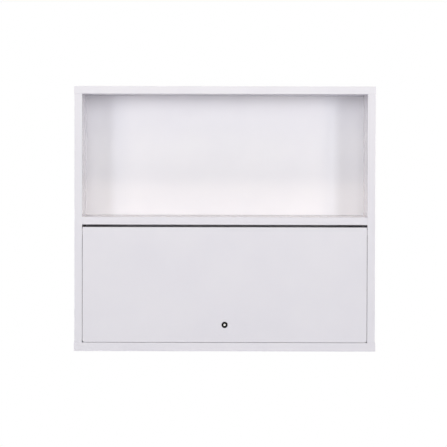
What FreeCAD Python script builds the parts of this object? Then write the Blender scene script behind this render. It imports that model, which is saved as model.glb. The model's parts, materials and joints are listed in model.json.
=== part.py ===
import FreeCAD, Part
import os

import Sketcher

# Wall cabinet: an open niche over a compartment closed by an inset flap with a cam lock.
# Millimetres, X to the right, Y from the front to the wall, Z up.
# The origin is on the wall side of the back panel, at the middle of the cabinet's height.

SIZES = {
    # carcass
    "clear_width": 664,  # between the side panels
    "carcass_depth": 180,  # wall to front, edge bands included
    "board": 18,  # top, sides and shelf
    "bottom_board": 20,
    "niche_height": 286,
    "back_thickness": 8,
    "rebate_width": 9,  # how far the back panel reaches into the boards around it
    "back_clearance": 0.3,
    # edge bands
    "front_band": 1,
    "band_rounding": 0.7,
    "top_end_band": 0.6,
    "bottom_end_band": 1.3,
    "flap_band": 1,
    "flap_band_rounding": 0.5,
    # fixing rails behind the flap
    "rail_height": 60,
    "rail_thickness": 18,
    "wall_screw_hole": 6.5,
    "wall_screw_inset": 52,  # from the side panel to the screw
    # flap
    "flap_height": 268.2,
    "flap_thickness": 18,
    "flap_corner": 5,
    "side_gap": 0.9,
    "top_gap": 5.8,
    "bottom_gap": 0.8,
    # flap pivots
    "pivot_drop": 12,  # from the flap's top edge to the pivot
    "pin_diameter": 5,
    "pin_in_flap": 14,
    "pin_in_bush": 8,
    "pin_chamfer": 0.5,
    "bush_diameter": 8,
    "bush_length": 11,
    "bush_flange_diameter": 13,
    "bush_flange": 1.5,
    "running_clearance": 0.05,
    "seat_clearance": 0.05,
    # stops behind the flap
    "stop_width": 12,
    "stop_depth": 12,
    "stop_chamfer": 2,
    "stop_headroom": 5,  # between the strip and the flap's sweep
    "buffer_diameter": 9,
    "buffer_thickness": 1.5,
    "buffer_bevel": 0.5,
    "buffer_height": 45,  # above the bottom panel
    "buffer_contact": 0.3,
    # lock
    "lock_height": 40.8,  # above the flap's lower edge
    "collar_diameter": 14.5,
    "collar_thickness": 1.6,
    "collar_bevel": 0.8,
    "collar_lip_width": 1.1,  # flat rim between the bevel and the countersink round the plug
    "barrel_diameter": 12,
    "barrel_tail": 7,  # behind the flap
    "barrel_flats": 10.4,
    "nut_across_flats": 17,
    "nut_thickness": 4,
    "plug_diameter": 6.6,
    "plug_face_diameter": 5,
    "plug_rise": 0.3,  # in front of the flap's face
    "plug_shoulder": 3,  # from the flap's face back to the wider part of the plug
    "lock_play": 0.1,  # along the lock's axis
    "keyway_width": 0.9,
    "keyway_height": 3.8,
    "keyway_depth": 6,
    "tail_square": 4.5,
    "cam_thickness": 2,
    "cam_width": 12,
    "cam_reach": 33,
    "cam_corner": 5,
    # keeper on the bottom panel
    "keeper_thickness": 2,
    "keeper_width": 50,
    "keeper_height": 22,
    "keeper_base": 24,
    "keeper_corner": 4,
    "keeper_bend": 1,  # inside radius
    "keeper_gap": 1.5,  # between the keeper and the cam
    "keeper_hole": 4.2,
    "keeper_hole_inset": 9,
}

document = FreeCAD.newDocument("wall_cabinet")
sheet = document.addObject("Spreadsheet::Sheet", "Sizes")
for row, (name, size) in enumerate(SIZES.items(), start=1):
    sheet.set(f"A{row}", name)
    sheet.set(f"B{row}", str(size))
    sheet.setAlias(f"B{row}", name)
document.recompute()

# Levels and widths that several pieces share
INNER_HEIGHT = ("(Sizes.niche_height + Sizes.board + Sizes.top_gap"
                " + Sizes.flap_height + Sizes.bottom_gap)")
TOTAL_HEIGHT = f"({INNER_HEIGHT} + Sizes.board + Sizes.bottom_board)"
FLOOR = f"(Sizes.bottom_board - {TOTAL_HEIGHT} / 2)"
FLAP_FOOT = f"({FLOOR} + Sizes.bottom_gap)"
SHELF_UNDERSIDE = f"({FLAP_FOOT} + Sizes.flap_height + Sizes.top_gap)"
CEILING = f"({FLOOR} + {INNER_HEIGHT})"
PIVOT_LEVEL = f"({FLAP_FOOT} + Sizes.flap_height - Sizes.pivot_drop)"
LOCK_LEVEL = f"({FLAP_FOOT} + Sizes.lock_height)"
HALF_CLEAR = "(Sizes.clear_width / 2)"
HALF_WIDTH = f"({HALF_CLEAR} + Sizes.board)"
FLAP_WIDTH = "(Sizes.clear_width - 2 * Sizes.side_gap)"
BOARD_FRONT = "(Sizes.front_band - Sizes.carcass_depth)"
BOARD_DEPTH = "(Sizes.carcass_depth - Sizes.front_band)"
FLAP_FRONT = "(-Sizes.carcass_depth)"
FLAP_REAR = "(Sizes.flap_thickness - Sizes.carcass_depth)"
PIVOT_DEPTH = "(Sizes.flap_thickness / 2 - Sizes.carcass_depth)"
BACK_FRONT = "(-Sizes.back_thickness)"
CAM_FRONT = f"({FLAP_REAR} + Sizes.barrel_tail + Sizes.lock_play)"

ALONG_X = FreeCAD.Vector(1, 0, 0)
ALONG_Y = FreeCAD.Vector(0, 1, 0)
ALONG_Z = FreeCAD.Vector(0, 0, 1)
SIDES = (("left", -1), ("right", 1))
SAME = 1e-6  # two places closer than this are one place
LEAST_CUT = 0.1  # a cut that takes less than this, in cubic millimetres, has missed

parts = []


def number(expression):
    """Value of an expression over the sheet's cells."""
    return float(sheet.evalExpression(expression))


def place(piece, across="0", deep="0", up="0", turn=0):
    """Tie a piece's position to the sheet; turn is about the vertical, in degrees."""
    piece.Placement = FreeCAD.Placement(
        FreeCAD.Vector(), FreeCAD.Rotation(FreeCAD.Vector(0, 0, 1), turn))
    piece.setExpression("Placement.Base.x", across)
    piece.setExpression("Placement.Base.y", deep)
    piece.setExpression("Placement.Base.z", up)


def new_body(label, across="0", deep="0", up="0", turn=0):
    body = document.addObject("PartDesign::Body", label)
    body.Label = label
    place(body, across, deep, up, turn)
    parts.append(body)
    return body


def new_sketch(body, plane, raise_by=None):
    """Sketch on one of the body's own origin planes, lifted along its normal if asked."""
    sketch = body.newObject("Sketcher::SketchObject", body.Name + "_sketch")
    support = next(feature for feature in body.Origin.OriginFeatures if feature.Role == plane)
    sketch.AttachmentSupport = [(support, "")]
    sketch.MapMode = "FlatFace"
    if raise_by:
        sketch.setExpression("AttachmentOffset.Base.z", raise_by)
    return sketch


def hold_point(sketch, geometry, point, across, up):
    """Tie a sketch point to its distances from the sketch's origin."""
    for kind, expression, axis in (("DistanceX", across, -2), ("DistanceY", up, -1)):
        size = number(expression)
        if size == 0:
            sketch.addConstraint(Sketcher.Constraint("PointOnObject", geometry, point, axis))
        else:
            tie = Sketcher.Constraint(kind, -1, 1, geometry, point, size)
            index = sketch.addConstraint(tie)
            sketch.setExpression(f"Constraints[{index}]", expression)


def draw_outline(sketch, corners):
    """Closed outline through corners, each a pair of expressions."""
    points = [FreeCAD.Vector(number(across), number(up), 0) for across, up in corners]
    count = len(corners)
    first = sketch.GeometryCount
    for index in range(count):
        sketch.addGeometry(Part.LineSegment(points[index], points[(index + 1) % count]))
    for index in range(count):
        following = first + (index + 1) % count
        sketch.addConstraint(Sketcher.Constraint("Coincident", first + index, 2, following, 1))
    for index, (across, up) in enumerate(corners):
        hold_point(sketch, first + index, 1, across, up)


def draw_rectangle(sketch, left, low, right, high):
    draw_outline(sketch, [(left, low), (right, low), (right, high), (left, high)])


def draw_circle(sketch, across, up, diameter):
    centre = FreeCAD.Vector(number(across), number(up), 0)
    ring = sketch.addGeometry(Part.Circle(centre, FreeCAD.Vector(0, 0, 1), number(diameter) / 2))
    index = sketch.addConstraint(Sketcher.Constraint("Diameter", ring, number(diameter)))
    sketch.setExpression(f"Constraints[{index}]", diameter)
    hold_point(sketch, ring, 3, across, up)


def pad(body, sketch, length, against=False, both_ways=False):
    """Pad a sketch along its plane's normal, or against it."""
    feature = body.newObject("PartDesign::Pad", body.Name + "_pad")
    feature.Profile = sketch
    feature.setExpression("Length", length)
    feature.Reversed = against
    feature.Midplane = both_ways
    document.recompute()
    return feature


def pocket(body, sketch, depth, along=False, both_ways=False):
    """Cut against the plane's normal, or along it, and make sure that it cuts."""
    before = body.Shape.Volume
    feature = body.newObject("PartDesign::Pocket", body.Name + "_pocket")
    feature.Profile = sketch
    feature.setExpression("Length", depth)
    feature.Reversed = along
    feature.Midplane = both_ways
    document.recompute()
    if before - body.Shape.Volume < LEAST_CUT:
        raise RuntimeError(f"{feature.Name} cuts nothing")
    return feature


def revolve(body, sketch, axis):
    feature = body.newObject("PartDesign::Revolution", body.Name + "_turning")
    feature.Profile = sketch
    feature.ReferenceAxis = (sketch, [axis])
    feature.Angle = 360
    document.recompute()
    return feature


def edges_where(shape, direction, test):
    """Names of the straight edges parallel to direction whose middle passes the test."""
    names = []
    for index, edge in enumerate(shape.Edges, start=1):
        if edge.Curve.TypeId != "Part::GeomLine":
            continue
        if abs(edge.Curve.Direction.dot(direction)) > 0.999 and test(edge.CenterOfMass):
            names.append(f"Edge{index}")
    return names


def round_edges(body, base, names, radius):
    feature = body.newObject("PartDesign::Fillet", body.Name + "_rounding")
    feature.Base = (base, names)
    feature.setExpression("Radius", radius)
    document.recompute()
    return feature


def ease_edges(kind, label, base, indices, size):
    """Fillet or chamfer of one size on the numbered edges of a solid that isn't a body."""
    eased = document.addObject(kind, label)
    eased.Base = base
    eased.Edges = [(index, number(size), number(size)) for index in indices]
    document.recompute()
    return eased


def numbered_edges(shape, test):
    """Numbers of the edges that pass the test."""
    return [index for index, edge in enumerate(shape.Edges, start=1) if test(edge)]


def in_front(edge):
    """Whether an edge lies in the plane y = 0, the front of a solid that isn't placed yet."""
    return all(abs(vertex.Point.y) < SAME for vertex in edge.Vertexes)


def side_panel(name, side):
    """Upright board with a rear rebate for the back panel and a seat for the pivot bush."""
    body = new_body(f"{name}_side_panel", f"{side} * {HALF_CLEAR}", BOARD_FRONT, FLOOR)
    plan = new_sketch(body, "XY_Plane")
    rebate_start = f"{BOARD_DEPTH} - Sizes.back_thickness"
    draw_outline(plan, [
        ("0", "0"),
        (f"{side} * Sizes.board", "0"),
        (f"{side} * Sizes.board", BOARD_DEPTH),
        (f"{side} * Sizes.rebate_width", BOARD_DEPTH),
        (f"{side} * Sizes.rebate_width", rebate_start),
        ("0", rebate_start),
    ])
    pad(body, plan, INNER_HEIGHT)
    deep = f"{PIVOT_DEPTH} - {BOARD_FRONT}"
    up = f"{PIVOT_LEVEL} - {FLOOR}"
    play = "2 * Sizes.seat_clearance"
    for diameter, depth in (("bush_diameter", "bush_length"), ("bush_flange_diameter", "bush_flange")):
        seat = new_sketch(body, "YZ_Plane")
        draw_circle(seat, deep, up, f"Sizes.{diameter} + {play}")
        pocket(body, seat, f"Sizes.{depth}", along=side > 0)


def end_panel(label, level, thickness, rises):
    """Top or bottom board, over the ends of the sides, with a stopped rebate for the back."""
    body = new_body(label, deep=BOARD_FRONT, up=level)
    plan = new_sketch(body, "XY_Plane")
    draw_rectangle(plan, f"-{HALF_WIDTH}", "0", HALF_WIDTH, BOARD_DEPTH)
    pad(body, plan, thickness, against=not rises)
    rebate = new_sketch(body, "XY_Plane")
    reach = f"({HALF_CLEAR} + Sizes.rebate_width)"
    draw_rectangle(rebate, f"-{reach}", f"{BOARD_DEPTH} - Sizes.back_thickness", reach, BOARD_DEPTH)
    pocket(body, rebate, "Sizes.rebate_width", along=rises)


def middle_shelf():
    body = new_body("middle_shelf", deep=BOARD_FRONT, up=SHELF_UNDERSIDE)
    plan = new_sketch(body, "XY_Plane")
    draw_rectangle(plan, f"-{HALF_CLEAR}", "0", HALF_CLEAR, f"{BOARD_DEPTH} - Sizes.back_thickness")
    pad(body, plan, "Sizes.board")


def wall_screw_holes(sketch, levels):
    """A pair of wall screw holes at each level, level with the rails' middle."""
    across = f"({HALF_CLEAR} - Sizes.wall_screw_inset)"
    for level in levels:
        draw_circle(sketch, f"-{across}", level, "Sizes.wall_screw_hole")
        draw_circle(sketch, across, level, "Sizes.wall_screw_hole")


def back_panel():
    """Panel in the rebates, drilled for the wall screws behind each rail."""
    body = new_body("back_panel", up=FLOOR)
    face = new_sketch(body, "XZ_Plane")
    tongue = "(Sizes.rebate_width - Sizes.back_clearance)"
    half = f"({HALF_CLEAR} + {tongue})"
    draw_rectangle(face, f"-{half}", f"-{tongue}", half, f"{INNER_HEIGHT} + {tongue}")
    pad(body, face, "Sizes.back_thickness")
    holes = new_sketch(body, "XZ_Plane")
    upper = f"{SHELF_UNDERSIDE} - {FLOOR} - Sizes.rail_height / 2"
    wall_screw_holes(holes, ["Sizes.rail_height / 2", upper])
    pocket(body, holes, "Sizes.back_thickness", along=True)


def fixing_rail(label, foot):
    """Board across the back of the lower compartment that takes the wall screws."""
    body = new_body(label, deep=BACK_FRONT, up=foot)
    face = new_sketch(body, "XZ_Plane")
    draw_rectangle(face, f"-{HALF_CLEAR}", "0", HALF_CLEAR, "Sizes.rail_height")
    pad(body, face, "Sizes.rail_thickness")
    holes = new_sketch(body, "XZ_Plane")
    wall_screw_holes(holes, ["Sizes.rail_height / 2"])
    pocket(body, holes, "Sizes.rail_thickness", along=True)


def front_band(label, left, low, right, high, direction):
    """Edge band on a board's front, with its two long front arrises rounded."""
    body = new_body(label, deep=BOARD_FRONT)
    face = new_sketch(body, "XZ_Plane")
    draw_rectangle(face, left, low, right, high)
    strip = pad(body, face, "Sizes.front_band")
    front = -number("Sizes.front_band")
    names = edges_where(strip.Shape, direction, lambda middle: abs(middle.y - front) < SAME)
    round_edges(body, strip, names, "Sizes.band_rounding")


def end_band(label, side, level, thickness, board):
    """Edge band on the end of the top or bottom board."""
    band = document.addObject("Part::Box", label)
    band.Label = label
    band.setExpression("Length", thickness)
    band.setExpression("Width", BOARD_DEPTH)
    band.setExpression("Height", board)
    start = HALF_WIDTH if side > 0 else f"-{HALF_WIDTH} - {thickness}"
    place(band, start, BOARD_FRONT, level)
    parts.append(band)


def carcass_bands():
    top_half = f"({HALF_WIDTH} + Sizes.top_end_band)"
    bottom_half = f"({HALF_WIDTH} + Sizes.bottom_end_band)"
    foot = f"{FLOOR} - Sizes.bottom_board"
    front_band("top_front_band", f"-{top_half}", CEILING, top_half, f"{CEILING} + Sizes.board", ALONG_X)
    front_band("bottom_front_band", f"-{bottom_half}", foot, bottom_half, FLOOR, ALONG_X)
    front_band("shelf_front_band", f"-{HALF_CLEAR}", SHELF_UNDERSIDE,
               HALF_CLEAR, f"{SHELF_UNDERSIDE} + Sizes.board", ALONG_X)
    front_band("left_front_band", f"-{HALF_WIDTH}", FLOOR, f"-{HALF_CLEAR}", CEILING, ALONG_Z)
    front_band("right_front_band", HALF_CLEAR, FLOOR, HALF_WIDTH, CEILING, ALONG_Z)
    for name, side in SIDES:
        end_band(f"top_{name}_end_band", side, CEILING, "Sizes.top_end_band", "Sizes.board")
        end_band(f"bottom_{name}_end_band", side, foot, "Sizes.bottom_end_band", "Sizes.bottom_board")


def stop_strip(name, side):
    """Strip that the flap closes against, cut short under the sweep of its top edge."""
    start = f"{FLAP_REAR} + Sizes.buffer_contact + Sizes.buffer_thickness"
    body = new_body(f"{name}_stop_strip", f"{side} * {HALF_CLEAR}", start, FLOOR)
    plan = new_sketch(body, "XY_Plane")
    inner = f"-{side} * Sizes.stop_width" if side > 0 else "Sizes.stop_width"
    eased = f"{inner} + {side} * Sizes.stop_chamfer"
    draw_outline(plan, [
        ("0", "0"),
        (eased, "0"),
        (inner, "Sizes.stop_chamfer"),
        (inner, "Sizes.stop_depth"),
        ("0", "Sizes.stop_depth"),
    ])
    corner_reach = "sqrt(Sizes.pivot_drop ^ 2 + (Sizes.flap_thickness / 2) ^ 2)"
    pad(body, plan, f"{PIVOT_LEVEL} - {FLOOR} - {corner_reach} - Sizes.stop_headroom")


def flap_buffer(name, side):
    """Soft button on the stop strip, with a bevelled rim."""
    disc = document.addObject("Part::Cylinder", f"{name}_buffer_disc")
    disc.setExpression("Radius", "Sizes.buffer_diameter / 2")
    disc.setExpression("Height", "Sizes.buffer_thickness")
    document.recompute()
    rims = numbered_edges(disc.Shape, lambda edge: edge.Closed and edge.CenterOfMass.z > SAME)
    button = ease_edges("Part::Chamfer", f"{name}_flap_buffer", disc, rims, "Sizes.buffer_bevel")
    button.Label = f"{name}_flap_buffer"
    face_front = FreeCAD.Rotation(ALONG_X, 90)
    button.Placement = FreeCAD.Placement(FreeCAD.Vector(), face_front)
    middle = f"({HALF_CLEAR} - Sizes.stop_width / 2 + Sizes.stop_chamfer / 2)"
    button.setExpression("Placement.Base.x", f"{side} * {middle}")
    rear = f"{FLAP_REAR} + Sizes.buffer_contact + Sizes.buffer_thickness"
    button.setExpression("Placement.Base.y", rear)
    button.setExpression("Placement.Base.z", f"{FLOOR} + Sizes.buffer_height")
    parts.append(button)


def pivot_bush(name, side):
    """Flanged bush let into the side panel; its own X axis points away from the flap."""
    turn = 0 if side > 0 else 180
    body = new_body(f"{name}_pivot_bush", f"{side} * {HALF_CLEAR}", PIVOT_DEPTH, PIVOT_LEVEL, turn)
    section = new_sketch(body, "XY_Plane")
    bore = "Sizes.pin_diameter / 2 + Sizes.running_clearance"
    draw_outline(section, [
        ("0", bore),
        ("0", "Sizes.bush_flange_diameter / 2"),
        ("Sizes.bush_flange", "Sizes.bush_flange_diameter / 2"),
        ("Sizes.bush_flange", "Sizes.bush_diameter / 2"),
        ("Sizes.bush_length", "Sizes.bush_diameter / 2"),
        ("Sizes.bush_length", bore),
    ])
    revolve(body, section, "H_Axis")


def pivot_pin(name, side):
    """Pin pressed into the flap's edge; its own X axis points away from the flap."""
    turn = 0 if side > 0 else 180
    seat = f"{FLAP_WIDTH} / 2 - Sizes.pin_in_flap"
    body = new_body(f"{name}_pivot_pin", f"{side} * ({seat})", PIVOT_DEPTH, PIVOT_LEVEL, turn)
    section = new_sketch(body, "XY_Plane")
    length = "Sizes.pin_in_flap + Sizes.side_gap + Sizes.pin_in_bush"
    draw_outline(section, [
        ("0", "0"),
        (length, "0"),
        (length, "Sizes.pin_diameter / 2 - Sizes.pin_chamfer"),
        (f"{length} - Sizes.pin_chamfer", "Sizes.pin_diameter / 2"),
        ("Sizes.pin_chamfer", "Sizes.pin_diameter / 2"),
        ("0", "Sizes.pin_diameter / 2 - Sizes.pin_chamfer"),
    ])
    revolve(body, section, "H_Axis")


def flap_panel():
    """Inset flap: lower corners rounded, drilled for the lock and for both pins."""
    body = new_body("flap_panel", deep=FLAP_REAR, up=FLAP_FOOT)
    face = new_sketch(body, "XZ_Plane")
    half = f"({FLAP_WIDTH} / 2 - Sizes.flap_band)"
    foot = "Sizes.flap_band"
    draw_rectangle(face, f"-{half}", foot, half, "Sizes.flap_height - Sizes.flap_band")
    slab = pad(body, face, "Sizes.flap_thickness")
    low = number(foot)
    names = edges_where(slab.Shape, ALONG_Y, lambda middle: abs(middle.z - low) < SAME)
    round_edges(body, slab, names, "Sizes.flap_corner - Sizes.flap_band")
    lock = new_sketch(body, "XZ_Plane")
    draw_circle(lock, "0", "Sizes.lock_height", "Sizes.barrel_diameter + 2 * Sizes.seat_clearance")
    pocket(body, lock, "Sizes.flap_thickness", along=True)
    for side in (-1, 1):
        seat = new_sketch(body, "YZ_Plane", f"{side} * {half}")
        draw_circle(seat, "-Sizes.flap_thickness / 2", "Sizes.flap_height - Sizes.pivot_drop",
                    "Sizes.pin_diameter + 2 * Sizes.seat_clearance")
        pocket(body, seat, "Sizes.pin_in_flap - Sizes.flap_band", along=side < 0)


def rounded_block(label, half, foot, head, corner):
    """Block as thick as the flap with its two lower corners rounded, not placed yet."""
    block = document.addObject("Part::Box", label)
    block.setExpression("Length", f"2 * {half}")
    block.setExpression("Width", "Sizes.flap_thickness")
    block.setExpression("Height", f"{head} - ({foot})")
    document.recompute()
    middle = number("Sizes.flap_thickness") / 2
    lower = numbered_edges(
        block.Shape, lambda edge: abs(edge.CenterOfMass.y - middle) < SAME and edge.CenterOfMass.z < SAME)
    return ease_edges("Part::Fillet", f"{label}_rounded", block, lower, corner)


def flap_bands():
    """One band wrapped round the sides and foot of the flap, and one along its top."""
    half = f"({FLAP_WIDTH} / 2)"
    head = "Sizes.flap_height - Sizes.flap_band"
    square = rounded_block("wrap_outside", half, "0", head, "Sizes.flap_corner")
    crest = number(head)
    rim = numbered_edges(square.Shape, lambda edge: in_front(edge) and crest - edge.CenterOfMass.z > SAME)
    outer = ease_edges("Part::Fillet", "wrap_outside_eased", square, rim, "Sizes.flap_band_rounding")
    place(outer, f"-{half}", "-Sizes.flap_thickness")
    inner_half = f"({half} - Sizes.flap_band)"
    inner = rounded_block("wrap_inside", inner_half, "Sizes.flap_band", head,
                          "Sizes.flap_corner - Sizes.flap_band")
    place(inner, f"-{inner_half}", "-Sizes.flap_thickness", "Sizes.flap_band")
    ring = document.addObject("Part::Cut", "wrap_ring")
    ring.Base = outer
    ring.Tool = inner
    bore = document.addObject("Part::Cylinder", "pin_bore")
    bore.setExpression("Radius", "Sizes.pin_diameter / 2 + Sizes.seat_clearance")
    bore.setExpression("Height", FLAP_WIDTH)
    bore.Placement = FreeCAD.Placement(FreeCAD.Vector(), FreeCAD.Rotation(ALONG_Y, 90))
    bore.setExpression("Placement.Base.x", f"-{half}")
    bore.setExpression("Placement.Base.y", "-Sizes.flap_thickness / 2")
    bore.setExpression("Placement.Base.z", "Sizes.flap_height - Sizes.pivot_drop")
    wrap = document.addObject("Part::Cut", "flap_wrap_band")
    wrap.Label = "flap_wrap_band"
    wrap.Base = ring
    wrap.Tool = bore
    place(wrap, deep=FLAP_REAR, up=FLAP_FOOT)
    parts.append(wrap)
    strip = document.addObject("Part::Box", "top_strip")
    strip.setExpression("Length", FLAP_WIDTH)
    strip.setExpression("Width", "Sizes.flap_thickness")
    strip.setExpression("Height", "Sizes.flap_band")
    document.recompute()
    rim = numbered_edges(strip.Shape, lambda edge: in_front(edge) and edge.CenterOfMass.z > SAME)
    top = ease_edges("Part::Fillet", "flap_top_band", strip, rim, "Sizes.flap_band_rounding")
    top.Label = "flap_top_band"
    place(top, f"-{half}", FLAP_FRONT, f"{FLAP_FOOT} + {head}")
    parts.append(top)


def lock_housing():
    """Turned housing: bevelled collar on the flap's face, barrel through it with two flats."""
    body = new_body("lock_housing", deep=FLAP_FRONT, up=LOCK_LEVEL)
    section = new_sketch(body, "XY_Plane")
    mouth = "Sizes.plug_face_diameter / 2 + Sizes.running_clearance"
    bore = "Sizes.plug_diameter / 2 + Sizes.running_clearance"
    rim = "Sizes.collar_diameter / 2"
    tail = "Sizes.flap_thickness + Sizes.barrel_tail"
    draw_outline(section, [
        (mouth, "-Sizes.plug_rise"),
        (f"{rim} - Sizes.collar_bevel - Sizes.collar_lip_width", "-Sizes.collar_thickness"),
        (f"{rim} - Sizes.collar_bevel", "-Sizes.collar_thickness"),
        (rim, "Sizes.collar_bevel - Sizes.collar_thickness"),
        (rim, "0"),
        ("Sizes.barrel_diameter / 2", "0"),
        ("Sizes.barrel_diameter / 2", tail),
        (bore, tail),
        (bore, "Sizes.plug_shoulder"),
        (mouth, "Sizes.plug_shoulder"),
    ])
    revolve(body, section, "V_Axis")
    flats = new_sketch(body, "XZ_Plane", f"-({tail})")
    flat = "Sizes.barrel_flats / 2"
    for side in (-1, 1):
        near = f"{side} * {flat}"
        far = f"{side} * Sizes.barrel_diameter"
        draw_rectangle(flats, near, "-Sizes.barrel_diameter", far, "Sizes.barrel_diameter")
    pocket(body, flats, tail, along=True)


def lock_nut():
    """Hexagon nut that clamps the housing against the flap's rear face."""
    body = new_body("lock_nut", deep=FLAP_REAR, up=LOCK_LEVEL)
    face = new_sketch(body, "XZ_Plane")
    half = "Sizes.nut_across_flats / 2"
    tip = f"{half} / cos(30)"
    draw_outline(face, [
        (half, f"-{tip} / 2"),
        (half, f"{tip} / 2"),
        ("0", tip),
        (f"-{half}", f"{tip} / 2"),
        (f"-{half}", f"-{tip} / 2"),
        ("0", f"-{tip}"),
    ])
    draw_circle(face, "0", "0", "Sizes.barrel_diameter + 2 * Sizes.seat_clearance")
    pad(body, face, "Sizes.nut_thickness", against=True)


def lock_plug():
    """Plug held in by its shoulder: keyway at the front, square tail that drives the cam."""
    body = new_body("lock_plug", deep=FLAP_FRONT, up=LOCK_LEVEL)
    tail = "Sizes.flap_thickness + Sizes.barrel_tail"
    shoulder = "(Sizes.plug_shoulder + Sizes.lock_play)"
    face = new_sketch(body, "XZ_Plane", "Sizes.plug_rise")
    draw_circle(face, "0", "0", "Sizes.plug_face_diameter")
    pad(body, face, f"{shoulder} + Sizes.plug_rise", against=True)
    step = new_sketch(body, "XZ_Plane", f"-{shoulder}")
    draw_circle(step, "0", "0", "Sizes.plug_diameter")
    pad(body, step, f"{tail} - {shoulder}", against=True)
    square = new_sketch(body, "XZ_Plane", f"-({tail})")
    half = "Sizes.tail_square / 2"
    draw_rectangle(square, f"-{half}", f"-{half}", half, half)
    pad(body, square, "Sizes.lock_play + Sizes.cam_thickness", against=True)
    keyway = new_sketch(body, "XZ_Plane", "Sizes.plug_rise")
    wide = "Sizes.keyway_width / 2"
    high = "Sizes.keyway_height / 2"
    draw_rectangle(keyway, f"-{wide}", f"-{high}", wide, high)
    pocket(body, keyway, "Sizes.keyway_depth")


def lock_cam():
    """Flat cam on the plug's square tail, level when unlocked and pointing right."""
    body = new_body("lock_cam", deep=CAM_FRONT, up=LOCK_LEVEL)
    face = new_sketch(body, "XZ_Plane")
    half = "Sizes.cam_width / 2"
    draw_rectangle(face, f"-{half}", f"-{half}", "Sizes.cam_reach", half)
    blank = pad(body, face, "Sizes.cam_thickness", against=True)
    names = edges_where(blank.Shape, ALONG_Y, lambda middle: True)
    round_edges(body, blank, names, "Sizes.cam_corner")
    hole = new_sketch(body, "XZ_Plane")
    tail = "(Sizes.tail_square / 2 + Sizes.seat_clearance)"
    draw_rectangle(hole, f"-{tail}", f"-{tail}", tail, tail)
    pocket(body, hole, "Sizes.cam_thickness", along=False)


def keeper_plate():
    """Bent angle plate on the bottom panel: the cam drops behind its upright leg."""
    rear = f"{CAM_FRONT} - Sizes.keeper_gap"
    body = new_body("keeper_plate", deep=f"{rear} - Sizes.keeper_thickness", up=FLOOR)
    section = new_sketch(body, "YZ_Plane")
    draw_outline(section, [
        ("0", "0"),
        ("Sizes.keeper_base", "0"),
        ("Sizes.keeper_base", "Sizes.keeper_thickness"),
        ("Sizes.keeper_thickness", "Sizes.keeper_thickness"),
        ("Sizes.keeper_thickness", "Sizes.keeper_height"),
        ("0", "Sizes.keeper_height"),
    ])
    angle = pad(body, section, "Sizes.keeper_width", both_ways=True)
    crest = number("Sizes.keeper_height")
    end = number("Sizes.keeper_base")
    leg_ends = edges_where(angle.Shape, ALONG_Y, lambda middle: abs(middle.z - crest) < SAME)
    base_ends = edges_where(angle.Shape, ALONG_Z, lambda middle: abs(middle.y - end) < SAME)
    angle = round_edges(body, angle, leg_ends + base_ends, "Sizes.keeper_corner")
    thickness = number("Sizes.keeper_thickness")
    for fold, radius in (
        (0, "Sizes.keeper_bend + Sizes.keeper_thickness"),
        (thickness, "Sizes.keeper_bend"),
    ):
        edge = edges_where(
            angle.Shape, ALONG_X, lambda middle: max(abs(middle.y - fold), abs(middle.z - fold)) < SAME)
        angle = round_edges(body, angle, edge, radius)
    holes = new_sketch(body, "XY_Plane")
    across = "(Sizes.keeper_width / 2 - Sizes.keeper_hole_inset)"
    deep = "(Sizes.keeper_base + Sizes.keeper_thickness) / 2"
    draw_circle(holes, f"-{across}", deep, "Sizes.keeper_hole")
    draw_circle(holes, across, deep, "Sizes.keeper_hole")
    pocket(body, holes, "Sizes.keeper_thickness", along=True)


end_panel("top_panel", CEILING, "Sizes.board", rises=True)
end_panel("bottom_panel", FLOOR, "Sizes.bottom_board", rises=False)
for name, side in SIDES:
    side_panel(name, side)
middle_shelf()
back_panel()
fixing_rail("upper_fixing_rail", f"{SHELF_UNDERSIDE} - Sizes.rail_height")
fixing_rail("lower_fixing_rail", FLOOR)
carcass_bands()
for name, side in SIDES:
    stop_strip(name, side)
    flap_buffer(name, side)
    pivot_bush(name, side)
    pivot_pin(name, side)
flap_panel()
flap_bands()
lock_housing()
lock_nut()
lock_plug()
lock_cam()
keeper_plate()
document.recompute()

for item in document.Objects:
    if "Invalid" in item.State or "Error" in item.State:
        raise RuntimeError(f"{item.Label} failed: {item.State}")

os.makedirs("parts", exist_ok=True)
for part in parts:
    shape = part.Shape
    if shape.isNull() or not shape.isValid() or len(shape.Solids) != 1:
        raise RuntimeError(f"{part.Label} isn't one valid solid")
for part in parts:
    part.Shape.exportStep(f"parts/{part.Label}.step")
    box = part.Shape.BoundBox
    print(f"{part.Label:24s} {box.XMin:9.2f} {box.XMax:9.2f} {box.YMin:9.2f} {box.YMax:9.2f}"
          f" {box.ZMin:9.2f} {box.ZMax:9.2f} {part.Shape.Volume:12.1f}")
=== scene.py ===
import json
import math

import bmesh
import bpy
import numpy as np
from mathutils import Matrix, Vector


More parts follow.
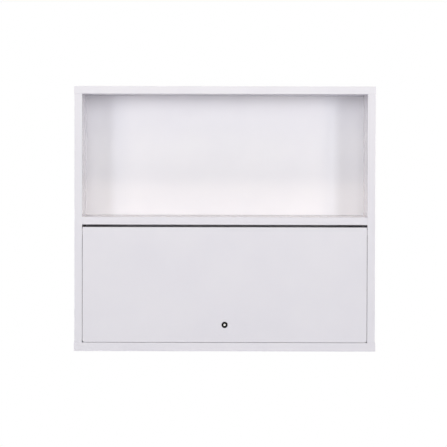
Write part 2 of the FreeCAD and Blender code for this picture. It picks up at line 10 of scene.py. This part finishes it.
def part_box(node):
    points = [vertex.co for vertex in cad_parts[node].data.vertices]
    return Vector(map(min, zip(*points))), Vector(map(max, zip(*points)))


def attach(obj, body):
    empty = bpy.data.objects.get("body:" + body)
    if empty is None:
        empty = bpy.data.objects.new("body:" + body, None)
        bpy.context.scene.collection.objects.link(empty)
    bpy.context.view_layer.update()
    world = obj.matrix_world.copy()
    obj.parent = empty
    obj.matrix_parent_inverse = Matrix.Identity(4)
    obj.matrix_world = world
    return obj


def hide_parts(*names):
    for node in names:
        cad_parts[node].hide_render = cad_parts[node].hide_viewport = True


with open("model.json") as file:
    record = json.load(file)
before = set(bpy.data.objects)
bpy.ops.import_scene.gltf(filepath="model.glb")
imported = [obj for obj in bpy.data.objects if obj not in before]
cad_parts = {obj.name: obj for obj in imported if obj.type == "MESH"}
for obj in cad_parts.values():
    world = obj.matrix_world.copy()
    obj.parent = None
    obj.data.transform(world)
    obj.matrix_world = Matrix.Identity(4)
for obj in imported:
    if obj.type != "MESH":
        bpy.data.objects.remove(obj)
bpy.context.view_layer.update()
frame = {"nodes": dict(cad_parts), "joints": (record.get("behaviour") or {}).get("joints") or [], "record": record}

# Metres, X to the right, Y from the front to the wall, Z up.
# Places on the cabinet, read from the frame
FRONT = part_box("top_front_band")[0].y
FLAP_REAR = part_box("flap_panel")[1].y
COLLAR_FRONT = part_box("lock_housing")[0].y
BARREL_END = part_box("lock_housing")[1].y
PLUG_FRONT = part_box("lock_plug")[0].y
PLUG_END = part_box("lock_plug")[1].y
NUT_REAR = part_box("lock_nut")[1].y
NICHE_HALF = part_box("right_side_panel")[0].x
SHELF_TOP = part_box("middle_shelf")[1].z
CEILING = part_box("top_panel")[0].z
LOCK_LEVEL = next(joint["pos_m"][2] for joint in frame["joints"] if joint["name"] == "lock_turn")
WALL_SCREWS = next(mount for mount in frame["record"]["mounts"] if mount["name"] == "wall_screws")
HOLE_MIDDLE = tuple(WALL_SCREWS["pos_m"])
HOLE_ACROSS = WALL_SCREWS["dims"]["spacing_x_mm"] / 2000
HOLE_UP = WALL_SCREWS["dims"]["spacing_y_mm"] / 2000
HOLE_RADIUS = WALL_SCREWS["dims"]["hole_r_mm"] / 1000
HOLE_MARGIN = 0.02 * HOLE_RADIUS  # so that the whole wall of a hole lies within its mask

# The lock's housing and nut, as the solids have them
MOUTH_RADIUS = 0.00255
BORE_RADIUS = 0.00335
SHOULDER = 0.003  # from the flap's face back to the step in the bore
BARREL_RADIUS = 0.006
BARREL_FLATS = 0.0052  # from the axis
COLLAR_RADIUS = (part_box("lock_housing")[1].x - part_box("lock_housing")[0].x) / 2
COLLAR_BEVEL = 0.0008
COLLAR_EASING = 0.00025
COLLAR_WEAR = 0.0001  # worn band at the rim
LIP_WIDTH = 0.0011
THREAD_PITCH = 0.001
THREAD_DEPTH = 0.0004
THREAD_LENGTH = 0.009
THREAD_ROWS = 8  # for each turn
NUT_HALF = (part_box("lock_nut")[1].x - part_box("lock_nut")[0].x) / 2
NUT_SLOPE = math.tan(math.radians(30))
NUT_FACE = 0.97  # radius of its flat face, as a share of the half width
NUT_EASING = 0.0002
NUT_PLAY = 0.00005

# Screws: width and rise of the head, and depth of its recess
FLAT_SCREW = (0.0062, 0.0003, 0.00024)
STRIP_SCREW = (0.006, 0.0003, 0.00024)
PAN_SCREW = (0.0078, 0.0022, 0.0013)
KEEPER_THICKNESS = 0.002
KEEPER_SCREW_INSET = 0.009  # from the keeper's ends
STRIP_SCREW_INSET = 0.03  # from the strip's ends
STRIP_SCREW_BACK = 0.001  # behind the strip's middle

# Where the screws of the back panel are, from the cabinet's middle
BACK_ROW_REACH = 0.3
BACK_SHELF_REACH = 0.2
BACK_SIDE_REACH = 0.25

TO_FRONT = (0, -1, 0)
TO_REAR = (0, 1, 0)
UPWARDS = (0, 0, 1)

# Camera: a long lens a little above the middle of the cabinet
CAMERA_LENS = 200.0  # millimetres
CAMERA_DISTANCE = 5.775
CAMERA_HEIGHT = 0.146
AIM_ACROSS = -0.003
AIM_UP = -0.0106
CAMERA_ROLL = math.radians(0.13)


def add_camera():
    data = bpy.data.cameras.new("camera")
    data.lens = CAMERA_LENS
    data.sensor_width = 36.0
    data.clip_end = 60.0
    camera = bpy.data.objects.new("camera", data)
    bpy.context.scene.collection.objects.link(camera)
    aim = Vector((AIM_ACROSS, FRONT, AIM_UP))
    camera.location = (AIM_ACROSS, FRONT - CAMERA_DISTANCE, CAMERA_HEIGHT)
    sight = aim - camera.location
    turn = sight.to_track_quat("-Z", "Y").to_matrix().to_4x4()
    camera.rotation_euler = (Matrix.Rotation(CAMERA_ROLL, 4, -sight) @ turn).to_euler()
    bpy.context.scene.camera = camera


add_camera()


def screen(red, green, blue):
    """A colour given as screen values from 0 to 255, as linear light."""
    values = np.array([red, green, blue]) / 255.0
    light = np.where(values <= 0.04045, values / 12.92, ((values + 0.055) / 1.055) ** 2.4)
    return (*light.tolist(), 1.0)


class Finish:
    """A procedural material: its shader, and patterns on the piece's own coordinates."""

    def __init__(self, name, colour, roughness, metallic=0.0, **constants):
        self.material = bpy.data.materials.new(name)
        self.material.use_nodes = True
        self.tree = self.material.node_tree
        self.shader = self.tree.nodes["Principled BSDF"]
        self.place = self.tree.nodes.new("ShaderNodeTexCoord")
        self.point = self.place.outputs["Object"]
        self.give("Base Color", colour)
        self.give("Roughness", roughness)
        self.give("Metallic", metallic)
        for socket, value in constants.items():
            self.give(socket.replace("_", " "), value)

    def give(self, socket, value):
        """Give one of the shader's sockets a constant or a pattern."""
        self.fill(self.shader.inputs[socket], value)

    def fill(self, socket, value):
        if isinstance(value, bpy.types.NodeSocket):
            self.tree.links.new(value, socket)
        else:
            socket.default_value = value

    def node(self, kind, values, output=0, **settings):
        """Add a node with its settings and inputs, and give back one of its outputs."""
        node = self.tree.nodes.new("ShaderNode" + kind)
        for name, setting in settings.items():
            setattr(node, name, setting)
        for name, value in values.items():
            self.fill(node.inputs[name], value)
        return node.outputs[output]

    def maths(self, operation, *values):
        return self.node("Math", dict(enumerate(values)), operation=operation)

    def vectors(self, operation, *values, output=0):
        return self.node("VectorMath", dict(enumerate(values)), output=output, operation=operation)

    def stretched(self, stretch):
        return self.node("Mapping", {"Vector": self.point, "Scale": stretch})

    def grain(self, size, detail=2.0, stretch=(1, 1, 1)):
        """Soft noise from 0 to 1 whose patches measure about the given size."""
        values = {"Vector": self.stretched(stretch), "Scale": 1 / size, "Detail": detail}
        return self.node("TexNoise", values)

    def chips(self, size, stretch=(1, 1, 1)):
        """A random value from 0 to 1 for each cell of about the given size."""
        values = {"Vector": self.stretched(stretch), "Scale": 1 / size}
        return self.node("SeparateColor", {"Color": self.node("TexVoronoi", values, output="Color")})

    def between(self, value, low, high):
        """Noise, which stays mostly between 0.3 and 0.7, spread over low to high."""
        values = {"Value": value, "From Min": 0.3, "From Max": 0.7, "To Min": low, "To Max": high}
        return self.node("MapRange", values)

    def blend(self, amount, first, second):
        """From the first colour to the second as the amount goes from 0 to 1."""
        return self.node("Mix", {0: amount, 6: first, 7: second}, output=2, data_type="RGBA")

    def blend_value(self, amount, first, second):
        return self.node("Mix", {0: amount, 2: first, 3: second})

    def part(self, vector, axis):
        """One of the components of a vector."""
        return self.node("SeparateXYZ", {"Vector": vector}, output=axis)

    def from_axis(self, middle):
        """Distance from the line through a point that runs from front to rear."""
        offset = self.vectors("SUBTRACT", self.point, middle)
        return self.vectors("LENGTH", self.vectors("MULTIPLY", offset, (1, 0, 1)), output="Value")

    def raised(self, *layers):
        """Bump from layers of a height and its depth in metres, each over the one before."""
        normal = None
        for height, depth in layers:
            values = {"Height": height, "Distance": depth}
            if normal:
                values["Normal"] = normal
            normal = self.node("Bump", values)
        self.give("Normal", normal)


BOARD_WHITE = screen(232, 231, 235)
BOARD_SHADE = screen(229, 228, 233)
# Painted light: a lighter copy of the boards' white for the side walls and the shelf
LIT_SIDE_WHITE = screen(239, 236, 241)
LIT_SIDE_GRAIN = screen(236, 233, 238)
# Painted shade: a darker copy of the boards' white for the flap, the edge bands and the top and bottom boards
SHADED_FRONT_WHITE = screen(224, 223, 231)  # the flap and the edge bands
SHADED_FRONT_GRAIN = screen(221, 220, 229)
CHIP_DARK = screen(140, 108, 72)
CHIP_LIGHT = screen(216, 192, 152)
# Painted shade: the grey of the back panel's joint lines and of the shade painted in the corners beside them
JOINT_SHADE_GREY = screen(96, 92, 92)
LATHE_FEED = 0.00012  # from one ring to the next
# Reaches of the painted shade beside the back panel's joints
CEILING_SHADE_REACH = 0.0006  # how far the shade reaches from the back panel's joint with the ceiling
SHELF_SHADE_REACH = 0.001  # and from its joint with the shelf


def rear_edges(finish):
    """1 on the faces that look to the rear, which have no band."""
    return finish.maths("GREATER_THAN", finish.part(finish.place.outputs["Normal"], "Y"), 0.5)


def hole_walls(finish):
    """1 within the radius of a wall screw hole, folded into one quarter of the pattern."""
    folded = finish.vectors("ABSOLUTE", finish.vectors("SUBTRACT", finish.point, HOLE_MIDDLE))
    offset = finish.vectors("SUBTRACT", folded, (HOLE_ACROSS, 0, HOLE_UP))
    distance = finish.vectors("LENGTH", finish.vectors("MULTIPLY", offset, (1, 0, 1)), output="Value")
    return finish.maths("LESS_THAN", distance, HOLE_RADIUS + HOLE_MARGIN)


def niche_joint_shade(finish):
    """1 on the back panel's joints with the niche's ceiling and shelf, fading beside them: a dark joint line with
    painted shade in the corners.
    """
    level = finish.part(finish.point, "Z")
    shade = 0.0
    for joint, reach in ((CEILING, CEILING_SHADE_REACH), (SHELF_TOP, SHELF_SHADE_REACH)):
        offset = finish.maths("ABSOLUTE", finish.maths("SUBTRACT", level, joint))
        beside = finish.maths("DIVIDE", offset, reach)
        shade = finish.maths("MAXIMUM", shade, finish.maths("SUBTRACT", 1.0, beside))
    front = finish.maths("LESS_THAN", finish.part(finish.place.outputs["Normal"], "Y"), -0.5)
    return finish.maths("MULTIPLY", shade, front)


def melamine(name, white=BOARD_WHITE, shade=BOARD_SHADE, satin=(0.28, 0.3), gloss=0.5,
             sawn=None, joints=None):
    """Melamine face: a faint pearl grain under a satin sheen.

    The masks show the core where it is sawn, and paint shade over its joints: a dark joint line with painted shade
    in the corners beside it.
    """
    finish = Finish(name, white, satin[0], Specular_IOR_Level=gloss)
    face = finish.blend(finish.between(finish.grain(0.11, 3), 0, 1), shade, white)
    rough = finish.between(finish.grain(0.06), *satin)
    if joints:
        # painted shade: darkens the joint lines and the corners beside them
        face = finish.blend(joints(finish), face, JOINT_SHADE_GREY)
    if sawn:
        mask = sawn(finish)
        chips = finish.blend_value(0.5, finish.chips(0.0019, stretch=(0.5, 1, 1)), finish.chips(0.0008))
        dust = finish.between(finish.grain(0.0007, 3), 0.75, 1.15)
        chips = finish.maths("MULTIPLY", chips, dust)
        face = finish.blend(mask, face, finish.blend(chips, CHIP_DARK, CHIP_LIGHT))
        rough = finish.blend_value(mask, rough, 0.85)
    finish.give("Base Color", face)
    finish.give("Roughness", rough)
    finish.raised((finish.grain(0.0011), 0.00002))
    return finish.material


def edge_band():
    """White plastic edge band in the flap's white, the darker copy of the boards' white with painted shade, with
    drawn-out flow marks.
    """
    finish = Finish("edge_band", SHADED_FRONT_WHITE, 0.38)
    cloud = finish.between(finish.grain(0.09, 3), 0, 1)
    finish.give("Base Color", finish.blend(cloud, SHADED_FRONT_GRAIN, SHADED_FRONT_WHITE))
    finish.give("Roughness", finish.between(finish.grain(0.004, stretch=(0.05, 1, 0.05)), 0.3, 0.38))
    finish.raised((finish.grain(0.0014), 0.000015))
    return finish.material


def zinc():
    """Zinc plated steel: cool grey with cloudy patches and fine rolling lines."""
    finish = Finish("zinc", screen(190, 192, 197), 0.34, metallic=1.0)
    clouds = finish.between(finish.grain(0.005, 3), 0, 1)
    finish.give("Base Color", finish.blend(clouds, screen(176, 179, 186), screen(205, 206, 208)))
    finish.give("Roughness", finish.between(finish.grain(0.0016, 3), 0.26, 0.44))
    finish.raised((finish.grain(0.0006, 2, stretch=(0.08, 1, 1)), 0.000012))
    return finish.material


def screw_zinc():
    """Zinc plated screw head, duller and with painted shade down in its recess."""
    finish = Finish("screw_zinc", screen(190, 192, 197), 0.3, metallic=1.0)
    depth = finish.node("Attribute", {}, output="Fac", attribute_name="recess")
    cloud = finish.between(finish.grain(0.0015, 3), 0, 1)
    bright = finish.blend(cloud, screen(178, 180, 186), screen(208, 208, 210))
    # painted shade: the recess darkens the head's colour
    finish.give("Base Color", finish.blend(depth, bright, screen(70, 70, 74)))
    finish.give("Roughness", finish.blend_value(depth, 0.3, 0.55))
    finish.raised((finish.grain(0.0004, 2), 0.000008))
    return finish.material


def nylon():
    """Moulded nylon: milky white, softly lit from inside, with a fine eroded texture."""
    finish = Finish("nylon", screen(228, 228, 221), 0.42, Subsurface_Weight=0.25, Subsurface_Scale=0.002)
    finish.give("Roughness", finish.between(finish.grain(0.003, 3), 0.36, 0.5))
    finish.raised((finish.grain(0.0005), 0.00001))
    return finish.material


def clear_rubber():
    """Soft see-through rubber, slightly hazy."""
    finish = Finish("clear_rubber", screen(226, 226, 220), 0.22, Transmission_Weight=0.6, IOR=1.48)
    finish.give("Roughness", finish.between(finish.grain(0.0015, 3), 0.16, 0.32))
    finish.raised((finish.grain(0.0008), 0.00001))
    return finish.material


def black_lacquer():
    """Black lacquer on the lock, worn a little lighter at the rim of the collar."""
    black = screen(15, 15, 17)
    finish = Finish("black_lacquer", black, 0.4, Specular_IOR_Level=0.1)
    rim = finish.maths("GREATER_THAN", finish.from_axis((0, 0, LOCK_LEVEL)), COLLAR_RADIUS - COLLAR_WEAR)
    worn = finish.maths("MULTIPLY", rim, finish.between(finish.grain(0.0012, 3), 0, 0.6))
    finish.give("Base Color", finish.blend(worn, black, screen(44, 44, 46)))
    finish.give("Roughness", finish.between(finish.grain(0.0009, 3), 0.34, 0.5))
    finish.raised((finish.grain(0.0006), 0.000012))
    return finish.material


def turned_nickel():
    """Nickel on the plug, faced on a lathe: fine rings round the lock's axis."""
    finish = Finish("turned_nickel", screen(222, 220, 216), 0.24, metallic=1.0)
    values = {"W": finish.from_axis((0, 0, LOCK_LEVEL)), "Scale": 1 / LATHE_FEED, "Detail": 2}
    rings = finish.node("TexNoise", values, noise_dimensions="1D")
    bright = finish.blend(finish.between(rings, 0, 1), screen(206, 204, 200), screen(228, 226, 222))
    finish.give("Base Color", bright)
    finish.give("Roughness", finish.between(finish.grain(0.0007, 2), 0.2, 0.32))
    finish.raised((rings, 0.000008))
    return finish.material


# painted light and shade: the end boards take the darker copy and the side boards the lighter copy of the boards'
# white
END_BOARD = melamine("end_melamine", SHADED_FRONT_WHITE, SHADED_FRONT_GRAIN, (0.44, 0.46), 0.25, sawn=rear_edges)
SIDE_BOARD = melamine("side_melamine", LIT_SIDE_WHITE, LIT_SIDE_GRAIN, (0.14, 0.16), sawn=rear_edges)
DRILLED_BOARD = melamine("melamine_drilled", sawn=hole_walls)
FINISHES = {
    "board_white": melamine("melamine"),
    # the back panel carries the painted shade in the niche's corners
    "back_white": melamine("back_melamine", sawn=hole_walls, joints=niche_joint_shade),
    "band_white": edge_band(),
    "zinc_steel": zinc(),
    "nylon_white": nylon(),
    "buffer_clear": clear_rubber(),
    "lock_black": black_lacquer(),
    "plug_nickel": turned_nickel(),
}
OWN_FINISHES = {
    "top_panel": END_BOARD,
    "bottom_panel": END_BOARD,
    "left_side_panel": SIDE_BOARD,
    "right_side_panel": SIDE_BOARD,
    "upper_fixing_rail": DRILLED_BOARD,
    "lower_fixing_rail": DRILLED_BOARD,
    # painted light and shade: the flap takes the darker copy and the shelf the lighter copy of the boards' white
    "flap_panel": melamine("flap_melamine", SHADED_FRONT_WHITE, SHADED_FRONT_GRAIN),
    "middle_shelf": melamine("shelf_melamine", LIT_SIDE_WHITE, LIT_SIDE_GRAIN, (0.3, 0.32)),
}
SCREW_FINISH = screw_zinc()

for piece in frame["record"]["subparts"]:
    materials = frame["nodes"][piece["node"]].data.materials
    materials.clear()
    materials.append(OWN_FINISHES.get(piece["node"], FINISHES[piece["material_slot"]]))


def eased(corners, easing, steps=4):
    """A profile with its inner corners rounded.

    Each becomes the curve (1 - t)^2 start + 2 t (1 - t) corner + t^2 end for t from 0 to 1, whose
    start and end lie the easing distance from the corner, or half of its shorter side.
    """
    corners = np.array(corners, float)
    corner = corners[1:-1]
    before = corners[:-2] - corner
    after = corners[2:] - corner
    before_length = np.linalg.norm(before, axis=1, keepdims=True)
    after_length = np.linalg.norm(after, axis=1, keepdims=True)
    reach = np.minimum(easing, np.minimum(before_length, after_length) / 2)
    start = (corner + before / before_length * reach)[:, None]
    end = (corner + after / after_length * reach)[:, None]
    t = np.linspace(0, 1, steps + 1)[None, :, None]
    curves = (1 - t) ** 2 * start + 2 * t * (1 - t) * corner[:, None] + t ** 2 * end
    return np.concatenate([corners[:1], curves.reshape(-1, 2), corners[-1:]])


def turned(name, radius, height, places, facing, body, finish, hollow=False, recess=None):
    """Like turned pieces, one at each place, in one mesh.

    Point (i, j) of a piece lies radius[i, j] from its axis at the angle 2 pi j / spokes, and
    height[i, j] from the place in the facing direction. A hollow piece joins its last ring to its
    first. A solid one starts and ends with a ring of no radius, merged to one point.
    """
    rings, spokes = radius.shape
    angle = 2 * math.pi * np.arange(spokes)[:, None] / spokes
    ahead = np.array(facing, float)
    level = np.cross(TO_REAR if ahead[2] else UPWARDS, ahead)
    outward = np.cos(angle) * level + np.sin(angle) * np.cross(ahead, level)
    piece = radius[..., None] * outward + height[..., None] * ahead
    points = np.array(places, float)[:, None, None] + piece
    grid = np.arange(points.size // 3).reshape(points.shape[:3])
    inner = grid if hollow else grid[:, :-1]
    outer = np.roll(grid, -1, axis=1) if hollow else grid[:, 1:]
    quads = np.stack([inner, outer, np.roll(outer, -1, axis=2), np.roll(inner, -1, axis=2)], axis=-1)
    mesh = bpy.data.meshes.new(name)
    mesh.from_pydata(points.reshape(-1, 3), [], quads.reshape(-1, 4))
    if recess is not None:
        values = np.broadcast_to(recess, points.shape[:3]).ravel()
        mesh.attributes.new("recess", "FLOAT", "POINT").data.foreach_set("value", values.astype(np.float32))
    merge_and_shade(mesh)
    mesh.materials.append(finish)
    item = bpy.data.objects.new(name, mesh)
    bpy.context.scene.collection.objects.link(item)
    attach(item, body)
    return item


def merge_and_shade(mesh):
    """Merge points that coincide, and shade smooth between edges sharper than 35 degrees."""
    work = bmesh.new()
    work.from_mesh(mesh)
    bmesh.ops.remove_doubles(work, verts=work.verts, dist=1e-6)
    work.to_mesh(mesh)
    work.free()
    mesh.shade_smooth()
    mesh.set_sharp_from_angle(angle=math.radians(35))


def all_round(values, spokes):
    """A profile's column of values, the same at each spoke."""
    return np.repeat(np.array(values, float)[:, None], spokes, axis=1)


def lock_body():
    """Collar, countersink round the plug, and barrel with a thread and two flats.

    The thread's radius is the barrel's less its depth times a triangle wave of the turns that a
    point is along and round the axis. The flats cap it at their distance over the angle's cosine.
    """
    spokes = 96
    rows = round(THREAD_ROWS * THREAD_LENGTH / THREAD_PITCH) + 1
    thickness = FRONT - COLLAR_FRONT
    lip = COLLAR_RADIUS - COLLAR_BEVEL
    collar = eased([
        (MOUTH_RADIUS, FRONT - PLUG_FRONT),
        (lip - LIP_WIDTH, thickness),
        (lip, thickness),
        (COLLAR_RADIUS, thickness - COLLAR_BEVEL),
        (COLLAR_RADIUS, 0),
        (BARREL_RADIUS, 0),
    ], COLLAR_EASING)
    length = BARREL_END - FRONT
    along = -np.linspace(length - THREAD_LENGTH, length, rows)
    profile = np.concatenate([collar, np.stack([np.full_like(along, BARREL_RADIUS), along], axis=1)])
    radius = all_round(profile[:, 0], spokes)
    height = all_round(profile[:, 1], spokes)
    turns = np.arange(spokes) / spokes
    wave = np.abs(2 * ((height / THREAD_PITCH + turns) % 1) - 1)
    threaded = np.arange(len(profile))[:, None] >= len(collar)
    runout = np.clip((length + height) / (THREAD_PITCH / 2), 0, 1)
    depth = THREAD_DEPTH * np.where(threaded, 1 - runout * (1 - wave), 0)
    barrel = np.minimum(radius - depth, BARREL_FLATS / np.abs(np.cos(2 * math.pi * turns)).clip(1e-9))
    radius = np.where(height < -1e-6, barrel, radius)
    radius = np.concatenate([radius, all_round([BORE_RADIUS, BORE_RADIUS, MOUTH_RADIUS], spokes)])
    height = np.concatenate([height, all_round([-length, -SHOULDER, -SHOULDER], spokes)])
    piece = turned("lock_body", radius, height, [(0, FRONT, LOCK_LEVEL)], TO_FRONT,
                   "flap", FINISHES["lock_black"], hollow=True)
    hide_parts("lock_housing")


def hexagon_nut():
    """Nut whose corners are turned down.

    The hexagon's radius is its half width over the cosine of the angle from the nearest flat's
    middle, and its faces drop by the slope times what that radius is past the half width.
    """
    spokes = 96
    angle = 2 * math.pi * np.arange(spokes) / spokes
    sixth = math.pi / 3
    hexagon = NUT_HALF / np.cos((angle + sixth / 2) % sixth - sixth / 2)
    thickness = NUT_REAR - FLAP_REAR
    drop = (hexagon - NUT_HALF) * NUT_SLOPE + NUT_EASING
    bore = np.full(spokes, BARREL_RADIUS + NUT_PLAY)
    face = np.full(spokes, NUT_FACE * NUT_HALF)
    radius = np.stack([bore, face, hexagon, hexagon, face, bore])
    flat = np.full(spokes, thickness)
    height = np.stack([flat, flat, flat - drop, drop, 0 * flat, 0 * flat])
    piece = turned("hexagon_nut", radius, height, [(0, FLAP_REAR, LOCK_LEVEL)], TO_REAR,
                   "flap", FINISHES["zinc_steel"], hollow=True)
    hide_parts("lock_nut")


def flap_buffers():
    """Domed rubber buttons on the stop strips.

    The profile is flat over 0.6 of the radius, falls to 0.7 of the height at 0.96 of it and reaches
    the strip at the full radius, with its corners eased.
    """
    spokes = 64
    places = []
    for side in ("left", "right"):
        low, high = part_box(f"{side}_flap_buffer")
        places.append(((low.x + high.x) / 2, high.y, (low.z + high.z) / 2))
    radius = (high.x - low.x) / 2
    thickness = high.y - low.y
    profile = eased([(0, thickness), (0.6 * radius, thickness), (0.96 * radius, 0.7 * thickness),
                     (radius, 0), (0, 0)], 0.0006)
    piece = turned("flap_buffers", all_round(profile[:, 0], spokes), all_round(profile[:, 1], spokes),
                   places, TO_FRONT, "carcass", FINISHES["buffer_clear"])
    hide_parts("left_flap_buffer", "right_flap_buffer")


def screw_heads(name, places, facing, width, rise, recess, body="carcass"):
    """Round heads with a cross recess.

    The top is rise (1 - 0.35 (r / R)^2) high, less the recess in a cross. The cross is where a point
    is within 0.2 R of one axis and 0.62 R along it, with walls that slope over 0.08 R and 0.1 R.
    """
    spokes = 48
    rings = np.linspace(0, 1, 19)[:, None]
    angle = 2 * math.pi * np.arange(spokes) / spokes
    half = width / 2
    across = np.abs(rings * np.cos(angle))
    upright = np.abs(rings * np.sin(angle))

    def arm(side, length):
        return np.clip((0.2 - side) / 0.08, 0, 1) * np.clip((0.62 - length) / 0.1, 0, 1)

    cross = np.maximum(arm(across, upright), arm(upright, across))
    top = rise * (1 - 0.35 * rings ** 2) - recess * cross
    shank = np.array([(1, 0.3), (1, 0), (0.5, 0), (0.5, -0.5), (0, -0.5)])
    radius = half * np.concatenate([np.repeat(rings, spokes, axis=1), all_round(shank[:, 0], spokes)])
    height = np.concatenate([top, rise * all_round(shank[:, 1], spokes)])
    # the cross recess, which carries the painted shade of the screw heads
    dark = np.concatenate([cross, np.zeros((len(shank), spokes))])
    turned(name, radius, height, places, facing, body, SCREW_FINISH, recess=dark)


def evenly(reach):
    """Four places from one side of the middle to the other."""
    return np.linspace(-reach, reach, 4).tolist()


def add_screws():
    """Screws of the back panel, the stop strips, the keeper and the cam."""
    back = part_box("back_panel")[1]
    edge = (back.x + NICHE_HALF) / 2
    inset = edge - NICHE_HALF
    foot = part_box("bottom_panel")[1].z
    shelf = (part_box("middle_shelf")[0].z + SHELF_TOP) / 2
    rows = [(x, z) for z in (foot - inset, CEILING + inset) for x in evenly(BACK_ROW_REACH)]
    rows += [(x, shelf) for x in (-BACK_SHELF_REACH, BACK_SHELF_REACH)]
    rows += [(x, z) for x in (-edge, edge) for z in evenly(BACK_SIDE_REACH)]
    screw_heads("back_screws", [(x, back.y, z) for x, z in rows], TO_REAR, *FLAT_SCREW)

    for name, facing in (("left", (1, 0, 0)), ("right", (-1, 0, 0))):
        low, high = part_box(f"{name}_stop_strip")
        face = high.x if facing[0] > 0 else low.x
        middle = (low.y + high.y) / 2 + STRIP_SCREW_BACK
        levels = np.linspace(low.z + STRIP_SCREW_INSET, high.z - STRIP_SCREW_INSET, 3)
        places = [(face, middle, z) for z in levels]
        screw_heads(f"{name}_strip_screws", places, facing, *STRIP_SCREW)

    low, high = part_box("keeper_plate")
    middle = (low.y + KEEPER_THICKNESS + high.y) / 2
    across = high.x - KEEPER_SCREW_INSET
    places = [(x, middle, low.z + KEEPER_THICKNESS) for x in (-across, across)]
    screw_heads("keeper_screws", places, UPWARDS, *PAN_SCREW)
    screw_heads("cam_screw", [(0, PLUG_END, LOCK_LEVEL)], TO_REAR, *PAN_SCREW, body="lock")


lock_body()
hexagon_nut()
flap_buffers()
add_screws()

FLOOR_LEVEL = -0.8
FLOOR_RADIUS = 1.8
FLOOR_FADE = 1.0  # radius where the floor starts to turn into the white background
FLOOR_FADED = 1.7  # and where it has
FLOOR_GREY = 0.8


def add_floor():
    """Pale round floor whose rim fades into the background, clear when seen from below."""
    spokes = 96
    angle = 2 * math.pi * np.arange(spokes) / spokes
    points = np.stack([FLOOR_RADIUS * np.cos(angle), FLOOR_RADIUS * np.sin(angle),
                       np.full(spokes, FLOOR_LEVEL)], axis=1)
    mesh = bpy.data.meshes.new("floor")
    mesh.from_pydata(points, [], [list(range(spokes))])
    finish = Finish("floor_pale", (FLOOR_GREY, FLOOR_GREY, FLOOR_GREY, 1), 0.8)
    radius = finish.vectors("LENGTH", finish.vectors("MULTIPLY", finish.point, (1, 1, 0)), output="Value")
    values = {"Value": radius, "From Min": FLOOR_FADE, "From Max": FLOOR_FADED}
    fade = finish.node("MapRange", values, interpolation_type="SMOOTHSTEP")
    seen = finish.node("LightPath", {}, output="Is Camera Ray")
    amount = finish.maths("MULTIPLY", fade, seen)
    white = finish.node("Emission", {"Color": (1, 1, 1, 1), "Strength": 1.0})
    upper = finish.node("MixShader", {0: amount, 1: finish.shader.outputs[0], 2: white})
    below = finish.node("NewGeometry", {}, output="Backfacing")
    surface = finish.node("MixShader", {0: below, 1: upper, 2: finish.node("BsdfTransparent", {})})
    finish.fill(finish.tree.nodes["Material Output"].inputs["Surface"], surface)
    mesh.materials.append(finish.material)
    floor = bpy.data.objects.new("floor", mesh)
    bpy.context.scene.collection.objects.link(floor)


# Lights: azimuth and elevation in degrees as seen from the cabinet, distance, width, height, and
# the watts in red, green and blue
LIGHTS = {
    "left_light": (-25, 3, 4.0, 0.45, 0.9, (27.1, 27.7, 28.8)),
    "right_light": (25, 3, 4.0, 0.45, 0.9, (27.1, 27.7, 28.8)),
    "far_left_light": (-34, 3, 4.0, 0.45, 0.9, (13.4, 11.7, 9.9)),
    "far_right_light": (34, 3, 4.0, 0.45, 0.9, (13.4, 11.7, 9.9)),
    "front_light": (0, 8, 4.0, 1.6, 0.9, (18.1, 18.4, 19.8)),
    "low_near_light": (0, 20, 1.6, 1.2, 0.3, (3.7, 3.7, 3.4)),
    "high_near_light": (0, 35, 1.6, 1.2, 0.3, (2.6, 2.5, 2.0)),
    "top_light": (0, 53.3, 2.5, 1.6, 0.16, (9.3, 7.8, 5.9)),
    "rear_left_light": (-118, -3, 4.0, 1.2, 0.5, (76, 77, 78)),
    "rear_right_light": (118, -3, 4.0, 1.2, 0.5, (76, 77, 78)),
    "rear_top_light": (180, 68, 2.5, 1.6, 1.2, (28, 28, 28)),
}
LIT_POINT = Vector((0, -0.18, 0.1))
AMBIENT = (0.048, 0.058, 0.071, 1)


def add_lights():
    for name, (azimuth, elevation, distance, width, height, watts) in LIGHTS.items():
        data = bpy.data.lights.new(name, "AREA")
        data.shape = "RECTANGLE"
        data.size = width
        data.size_y = height
        data.energy = max(watts)
        data.color = [share / max(watts) for share in watts]
        lamp = bpy.data.objects.new(name, data)
        bpy.context.scene.collection.objects.link(lamp)
        turn = math.radians(azimuth)
        rise = math.radians(elevation)
        away = Vector((math.sin(turn) * math.cos(rise), -math.cos(turn) * math.cos(rise), math.sin(rise)))
        lamp.location = LIT_POINT + away * distance
        lamp.rotation_euler = (-away).to_track_quat("-Z", "Y").to_euler()
        lamp.visible_camera = False


def add_world():
    """White background for what is seen, mirrored or seen through, and a low ambient light."""
    world = bpy.data.worlds.new("studio")
    world.use_nodes = True
    bpy.context.scene.world = world
    tree = world.node_tree
    ambient = tree.nodes["Background"]
    ambient.inputs["Color"].default_value = AMBIENT
    white = tree.nodes.new("ShaderNodeBackground")
    white.inputs["Color"].default_value = (1, 1, 1, 1)
    path = tree.nodes.new("ShaderNodeLightPath")
    shown = path.outputs["Is Camera Ray"]
    for ray in ("Is Glossy Ray", "Is Transmission Ray"):
        either = tree.nodes.new("ShaderNodeMath")
        either.operation = "MAXIMUM"
        tree.links.new(shown, either.inputs[0])
        tree.links.new(path.outputs[ray], either.inputs[1])
        shown = either.outputs[0]
    mix = tree.nodes.new("ShaderNodeMixShader")
    tree.links.new(shown, mix.inputs[0])
    tree.links.new(ambient.outputs[0], mix.inputs[1])
    tree.links.new(white.outputs[0], mix.inputs[2])
    tree.links.new(mix.outputs[0], tree.nodes["World Output"].inputs["Surface"])


add_floor()
add_lights()
add_world()
bpy.context.scene.view_settings.view_transform = "Standard"
